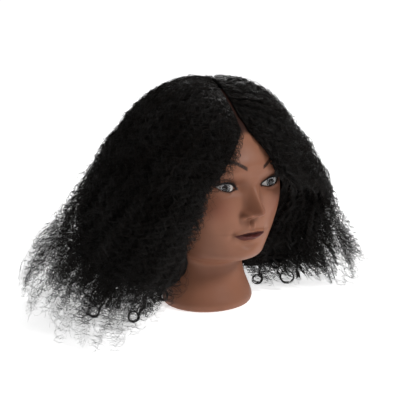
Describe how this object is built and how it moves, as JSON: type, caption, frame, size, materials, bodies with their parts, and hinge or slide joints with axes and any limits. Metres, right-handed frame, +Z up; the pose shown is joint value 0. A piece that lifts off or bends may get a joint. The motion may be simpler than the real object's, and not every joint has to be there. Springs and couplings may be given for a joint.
{
  "type": "hairdressing training head",
  "caption": "Life-size dark-skinned mannequin head on a flared neck, with a bell of centre-parted black curly hair and a socket under the neck for a clamp post.",
  "frame": {"origin": "centre of the neck's resting plane, at the mouth of the post socket and on its axis", "axes": "+Z up; the face looks along -Y; the head's right side is towards -X"},
  "size_m": [0.4952, 0.3791, 0.3057],
  "materials": {
    "skin_vinyl": "satin",
    "root_latex": "matte",
    "rigid_foam": "matte",
    "base_plastic": "matte",
    "socket_plastic": "satin",
    "screw_steel": "satin",
    "eye_white": "glossy",
    "eye_iris": "glossy",
    "eye_clear": "clear",
    "lash_fibre": "matte",
    "hair_fibre": "satin"
  },
  "bodies": {
    "root": {"head_skin": "skin_vinyl", "root_seal": "root_latex", "foam_core": "rigid_foam", "base_plate": "base_plastic", "post_socket": "socket_plastic", "base_screws": "screw_steel", "right_eyeball": "eye_white", "right_iris": "eye_iris", "right_cornea": "eye_clear", "right_upper_lashes": "lash_fibre", "right_lower_lashes": "lash_fibre", "left_eyeball": "eye_white", "left_iris": "eye_iris", "left_cornea": "eye_clear", "left_upper_lashes": "lash_fibre", "left_lower_lashes": "lash_fibre", "hair_front_right": "hair_fibre", "hair_front_left": "hair_fibre", "hair_side_right": "hair_fibre", "hair_side_left": "hair_fibre", "hair_back_right": "hair_fibre", "hair_back_left": "hair_fibre", "hair_temple_right": "hair_fibre", "hair_temple_left": "hair_fibre", "hair_nape_right": "hair_fibre", "hair_nape_left": "hair_fibre"}
  },
  "joints": []
}
